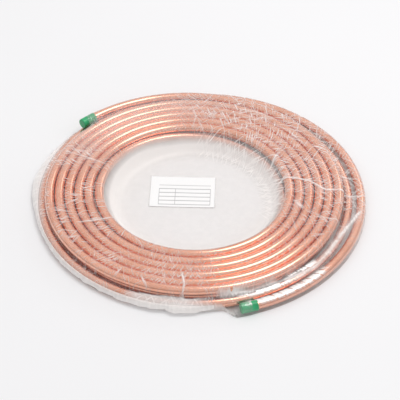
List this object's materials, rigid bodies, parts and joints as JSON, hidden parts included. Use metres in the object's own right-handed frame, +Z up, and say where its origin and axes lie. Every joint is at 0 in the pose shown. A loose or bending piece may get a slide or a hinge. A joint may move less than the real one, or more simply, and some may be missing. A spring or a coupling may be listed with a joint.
{
  "type": "copper tube coil",
  "caption": "Flat two-layer coil of bright soft copper tube with green push-on end caps, wrapped in clear shrink film, with a plain paper label lying in its bore.",
  "frame": {"origin": "middle of the round face that the wrapped coil lies on", "axes": "+Z up along the coil's axis, +X to the right and +Y away from the viewer in the picture"},
  "size_m": [0.4617, 0.4616, 0.0288],
  "materials": {
    "copper": "bright drawn copper, lightly polished",
    "cap_plastic": "green soft moulded plastic",
    "clear_film": "clear glossy shrink film",
    "label_paper": "plain white coated paper"
  },
  "bodies": {
    "root": {"copper_tube": "copper", "lower_end_cap": "cap_plastic", "upper_end_cap": "cap_plastic", "bottom_film": "clear_film", "top_film": "clear_film", "label": "label_paper"}
  },
  "joints": []
}
